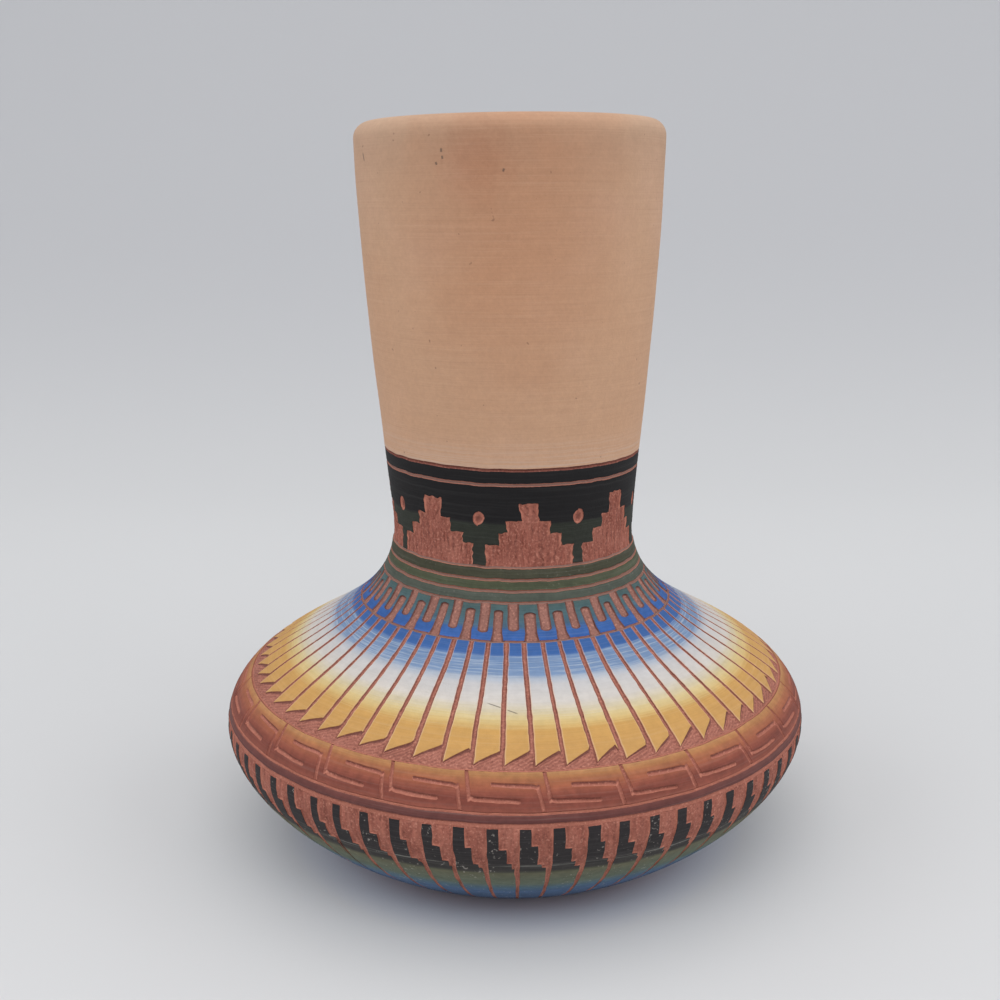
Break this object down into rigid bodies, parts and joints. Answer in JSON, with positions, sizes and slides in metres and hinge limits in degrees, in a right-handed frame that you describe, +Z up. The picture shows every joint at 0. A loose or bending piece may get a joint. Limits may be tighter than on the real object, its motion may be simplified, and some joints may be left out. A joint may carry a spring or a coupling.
{
  "type": "etched pottery vase",
  "caption": "Hollow clay vase with a wide low belly, narrow waist and tall flared neck, covered in etched bands of coloured slip.",
  "frame": {"origin": "middle of the flat foot, on the surface that the vase stands on", "axes": "+Z up the vase's axis, -Y towards the side that the picture shows, +X to the right in the picture"},
  "size_m": [0.1256, 0.1256, 0.1524],
  "materials": {
    "red_clay": "unglazed, scratched",
    "tan_slip": "matte, brushed",
    "black_slip": "matte",
    "green_slip": "matte",
    "blue_slip": "matte",
    "ochre_slip": "matte, streaked",
    "russet_slip": "matte",
    "maroon_slip": "matte"
  },
  "bodies": {
    "root": {"clay_body": "red_clay", "neck_slip": "tan_slip", "black_collar_ring": "black_slip", "terrace_band": "black_slip", "upper_green_ring": "green_slip", "middle_green_ring": "green_slip", "lower_green_ring": "green_slip", "fret_ribbon": "blue_slip", "feather_fan": "ochre_slip", "key_band": "russet_slip", "maroon_ring": "maroon_slip", "stepped_panels": "black_slip"}
  },
  "joints": []
}
